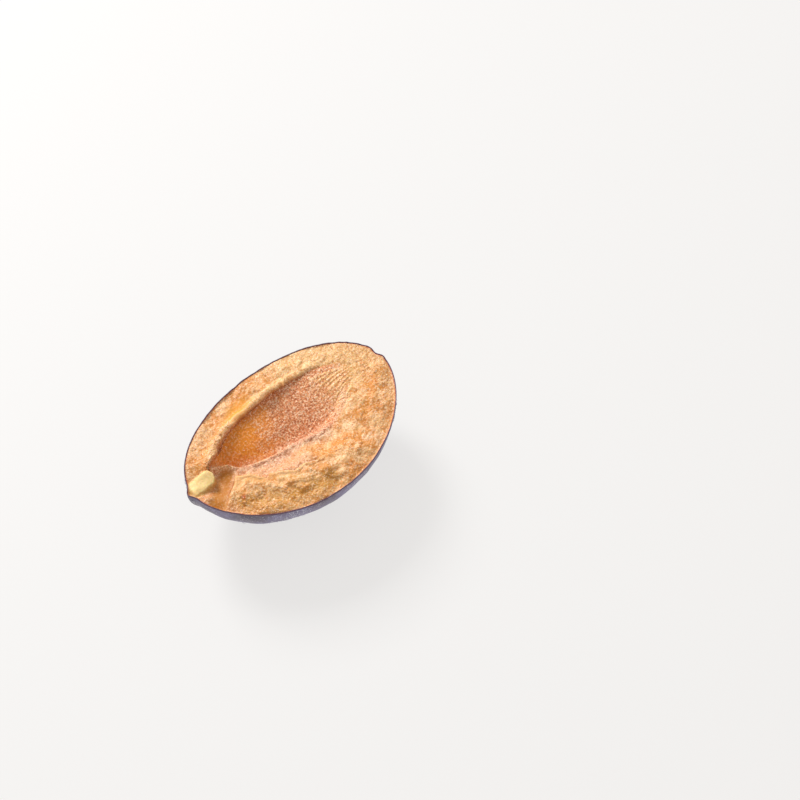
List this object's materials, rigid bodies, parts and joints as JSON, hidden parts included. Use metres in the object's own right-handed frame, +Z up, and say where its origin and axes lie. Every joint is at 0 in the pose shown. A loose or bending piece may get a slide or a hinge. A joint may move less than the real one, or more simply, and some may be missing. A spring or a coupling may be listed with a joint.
{
  "type": "plum half",
  "caption": "Frozen, stoned half of a prune plum lying on its skin, with rough cut flesh and the stone's hollow facing up.",
  "frame": {"origin": "on the surface that the half lies on, under the middle of its outline", "axes": "+X along the fruit to its stem end, +Z up out of the cut face, +Y across the cut face to the sharp wall of the hollow"},
  "size_m": [0.0466, 0.0294, 0.0154],
  "materials": {
    "plum": "dusty purple skin with frosted orange flesh on the cut face"
  },
  "bodies": {
    "root": {"plum_half": "plum"}
  },
  "joints": []
}
